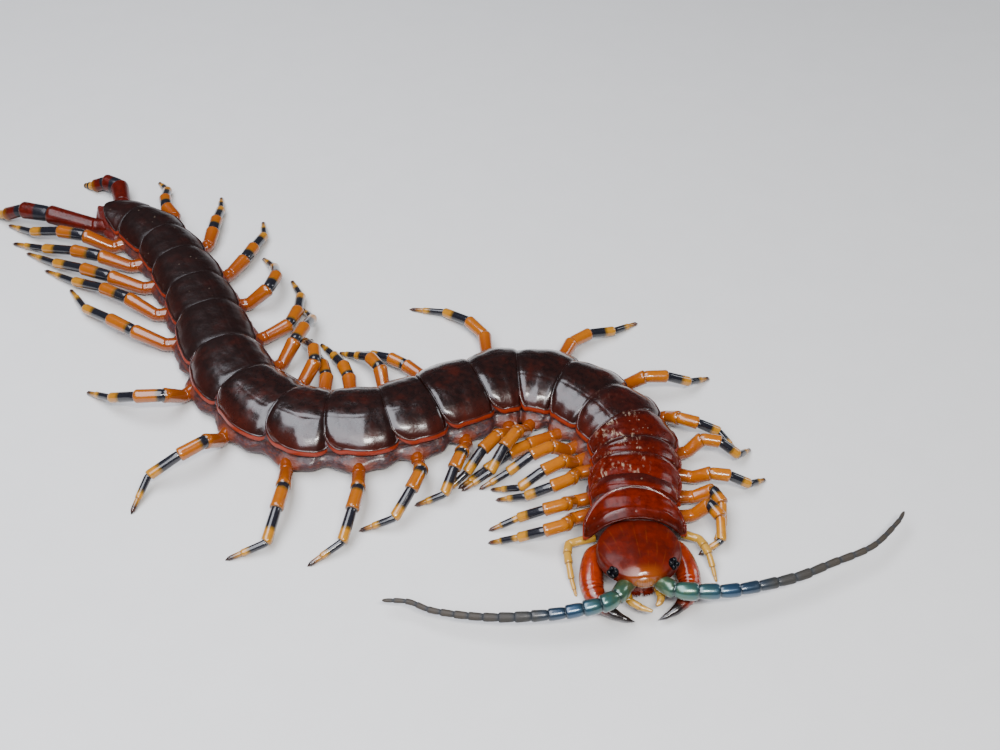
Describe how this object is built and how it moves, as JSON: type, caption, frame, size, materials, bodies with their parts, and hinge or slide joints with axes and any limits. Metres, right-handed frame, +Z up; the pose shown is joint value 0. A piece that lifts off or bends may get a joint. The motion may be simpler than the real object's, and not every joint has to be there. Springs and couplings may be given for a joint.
{
  "type": "giant centipede",
  "caption": "Life-size still model of a giant centipede lying in a flat S: plated red-brown body, round head with feelers and poison claws, and banded orange legs along both sides.",
  "frame": {"origin": "on the floor, below the middle of the whole animal's plan", "axes": "+Z up; +X along the animal's longest extent, from the tail's side towards the head's side; the head faces -Y"},
  "size_m": [0.1763, 0.1222, 0.0096],
  "materials": {
    "plate_red": "glossy deep red shell",
    "plate_brown": "glossy dark maroon-brown shell with orange-red margins",
    "tail_red": "glossy red shell",
    "head_shell": "glossy deep red shell with darker mottling",
    "claw_shell": "glossy orange-red shell, black at the claws' points",
    "feeler": "glossy blue-green near the head, matte slate grey towards the tip",
    "leg": "glossy orange with black bands",
    "leg_pale": "glossy pale yellow",
    "eye": "black, very glossy"
  },
  "bodies": {
    "root": {"body_01_03": "plate_red", "body_04_06": "plate_red", "body_07_09": "plate_brown", "body_10_12": "plate_brown", "body_13_15": "plate_brown", "body_16_18": "plate_brown", "body_19_21": "tail_red", "claw_carrier": "claw_shell", "eyes_left": "eye", "eyes_right": "eye", "feeler_left": "feeler", "feeler_right": "feeler", "head": "head_shell", "leg_01_left": "leg_pale", "leg_01_right": "leg_pale", "leg_02_left": "leg", "leg_02_right": "leg", "leg_03_left": "leg", "leg_03_right": "leg", "leg_04_left": "leg", "leg_04_right": "leg", "leg_05_left": "leg", "leg_05_right": "leg", "leg_06_left": "leg", "leg_06_right": "leg", "leg_07_left": "leg", "leg_07_right": "leg", "leg_08_left": "leg", "leg_08_right": "leg", "leg_09_left": "leg", "leg_09_right": "leg", "leg_10_left": "leg", "leg_10_right": "leg", "leg_11_left": "leg", "leg_11_right": "leg", "leg_12_left": "leg", "leg_12_right": "leg", "leg_13_left": "leg", "leg_13_right": "leg", "leg_14_left": "leg", "leg_14_right": "leg", "leg_15_left": "leg", "leg_15_right": "leg", "leg_16_left": "leg", "leg_16_right": "leg", "leg_17_left": "leg", "leg_17_right": "leg", "leg_18_left": "leg", "leg_18_right": "leg", "leg_19_left": "leg", "leg_19_right": "leg", "leg_20_left": "leg", "leg_20_right": "leg", "leg_21_left": "tail_red", "leg_21_right": "tail_red", "palp_left": "leg_pale", "palp_right": "leg_pale", "poison_claw_left": "claw_shell", "poison_claw_right": "claw_shell"}
  },
  "joints": []
}
